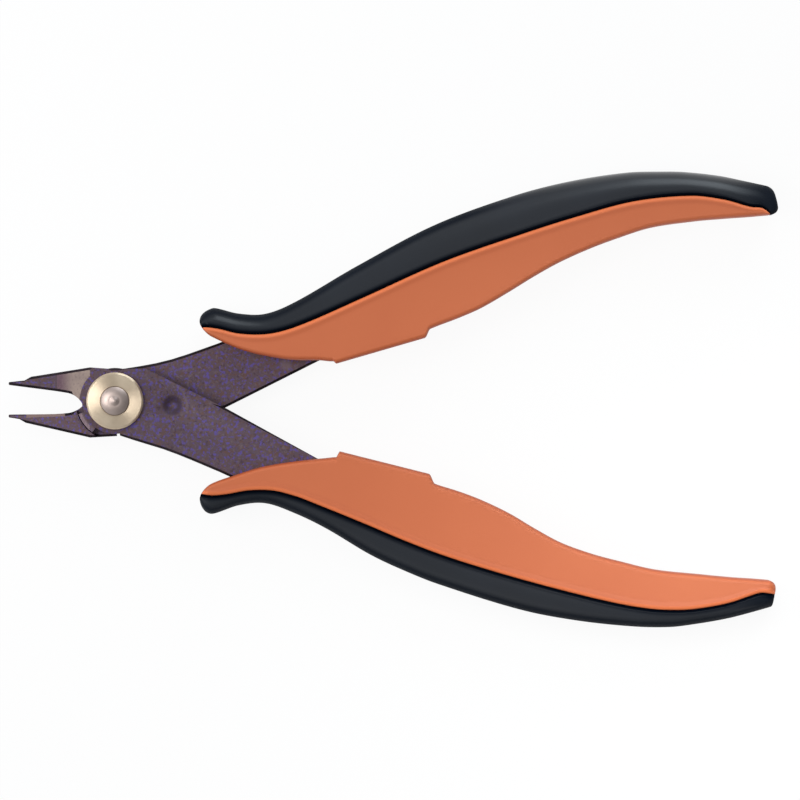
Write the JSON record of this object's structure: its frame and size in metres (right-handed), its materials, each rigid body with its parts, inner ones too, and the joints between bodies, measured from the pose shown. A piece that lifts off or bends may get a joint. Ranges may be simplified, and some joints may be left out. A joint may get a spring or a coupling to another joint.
{
  "type": "end cutting nippers",
  "caption": "Spring-opened end cutting nippers: lapped steel blades on a washered rivet, narrow jaws with lipped cutting edges, and curved two-shot grips.",
  "frame": {"origin": "middle of the rivet's factory head, where the pivot axis meets the plane that the tool lies on", "axes": "+X from the pivot towards the grips, +Y towards the upper grip of the picture, +Z along the pivot, out of the face that the picture shows"},
  "size_m": [0.1352, 0.0802, 0.0104],
  "materials": {
    "blade_steel": "dark speckled oxide with ground faces at the jaws",
    "turned_steel": "bright, turned in rings",
    "spring_steel": "drawn wire",
    "orange_plastic": "fine moulded grain",
    "black_rubber": "smooth soft moulding with a dull sheen"
  },
  "bodies": {
    "upper_handle": {"bottom_blade": "blade_steel", "pivot_rivet": "turned_steel", "top_washer": "turned_steel", "bottom_washer": "turned_steel", "return_spring": "spring_steel", "upper_grip_body": "orange_plastic", "upper_grip_back": "black_rubber"},
    "lower_handle": {"top_blade": "blade_steel", "lower_grip_body": "orange_plastic", "lower_grip_back": "black_rubber"}
  },
  "joints": [
    {"name": "pivot", "type": "hinge", "parent": "upper_handle", "child": "lower_handle", "pos_m": [0, 0, 0.0052], "axis": [0, 0, 1], "range_deg": [0, 15.6], "stiffness_Nm_per_rad": 0.2, "springref_deg": -5.73, "deforming": ["return_spring"]}
  ]
}
